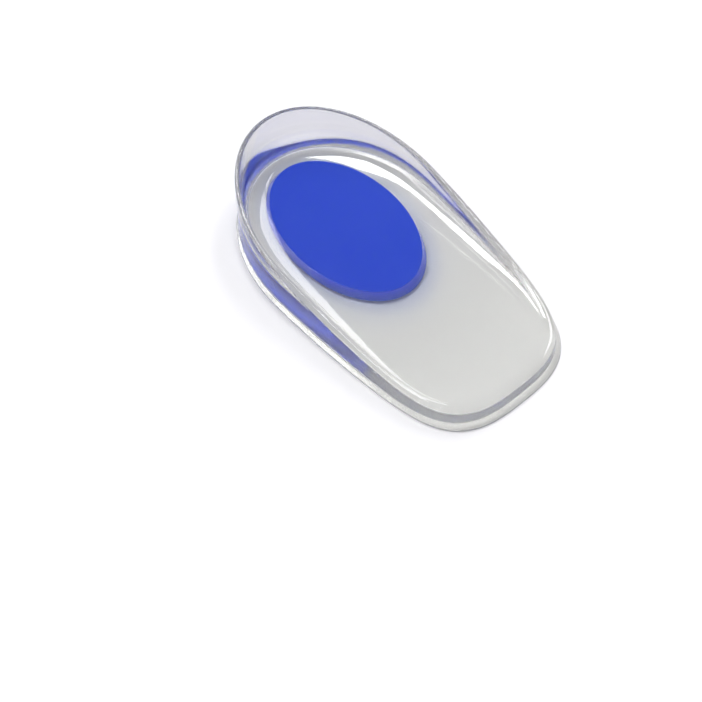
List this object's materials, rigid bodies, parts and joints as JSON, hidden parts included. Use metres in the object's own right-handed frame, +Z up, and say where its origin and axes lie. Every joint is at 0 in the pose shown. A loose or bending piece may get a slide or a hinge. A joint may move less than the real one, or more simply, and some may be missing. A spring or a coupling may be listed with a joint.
{
  "type": "silicone heel insert",
  "caption": "Clear silicone heel cup with a flat sole, a wall that climbs from a bowed front edge to a deep rounded heel, and a soft blue oval gel spot in the floor under the heel bone.",
  "frame": {"origin": "under the middle of the whole insert, on the surface that it lies on", "axes": "+Z up out of the sole, +Y towards the heel end, X across"},
  "size_m": [0.0622, 0.11, 0.02],
  "materials": {
    "clear_silicone": "clear moulded silicone, glossy, very slightly hazy",
    "blue_gel": "softer blue silicone gel, satin"
  },
  "bodies": {
    "root": {"cup": "clear_silicone", "heel_spot": "blue_gel"}
  },
  "joints": []
}
